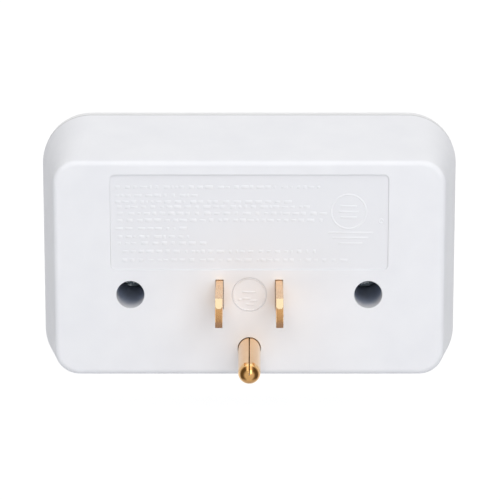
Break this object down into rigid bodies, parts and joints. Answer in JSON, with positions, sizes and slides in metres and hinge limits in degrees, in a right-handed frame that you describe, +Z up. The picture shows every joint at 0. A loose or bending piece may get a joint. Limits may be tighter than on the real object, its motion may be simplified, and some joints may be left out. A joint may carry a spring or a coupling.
{
  "type": "plug-in surge protector",
  "caption": "White plug-in surge protector with a tapered rear housing, flat blades, a round ground pin and outlets in its front face.",
  "frame": {"origin": "midway between the two blades, on the flat rear face that meets the wall plate", "axes": "+Z up, -Y along the prongs into the wall outlet, +Y out of the outlets' face, +X to the right as the rear is looked at"},
  "size_m": [0.0904, 0.0509, 0.0586],
  "materials": {
    "rear_shell": "fine satin moulding",
    "front_shell": "fine satin moulding",
    "blade_brass": "rolled, bright",
    "pin_brass": "rolled, bright",
    "bus_brass": "stamped",
    "screw_steel": "dark plated",
    "carrier_plastic": "moulded",
    "board_laminate": "green lacquer",
    "varistor_coating": "dipped",
    "fuse_sleeve": "sleeve",
    "capacitor_case": "moulded box",
    "resistor_body": "lacquered",
    "diode_body": "moulded",
    "lamp_lens": "tinted epoxy",
    "light_guide": "clear, polished",
    "line_insulation": "extruded",
    "neutral_insulation": "extruded",
    "ground_insulation": "extruded"
  },
  "bodies": {
    "root": {"rear_housing": "rear_shell", "front_cover": "front_shell", "contact_carrier": "carrier_plastic", "line_blade": "blade_brass", "neutral_blade": "blade_brass", "ground_pin": "pin_brass", "line_bus_bar": "bus_brass", "neutral_bus_bar": "bus_brass", "ground_bus_bar": "bus_brass", "circuit_board": "board_laminate", "varistor_line_neutral": "varistor_coating", "varistor_line_ground": "varistor_coating", "varistor_neutral_ground": "varistor_coating", "thermal_fuse": "fuse_sleeve", "filter_capacitor": "capacitor_case", "led_resistor": "resistor_body", "led_diode": "diode_body", "indicator_led": "lamp_lens", "indicator_lens": "light_guide", "line_lead": "line_insulation", "neutral_lead": "neutral_insulation", "ground_lead": "ground_insulation", "left_housing_screw": "screw_steel", "right_housing_screw": "screw_steel", "left_board_screw": "screw_steel", "right_board_screw": "screw_steel"}
  },
  "joints": []
}
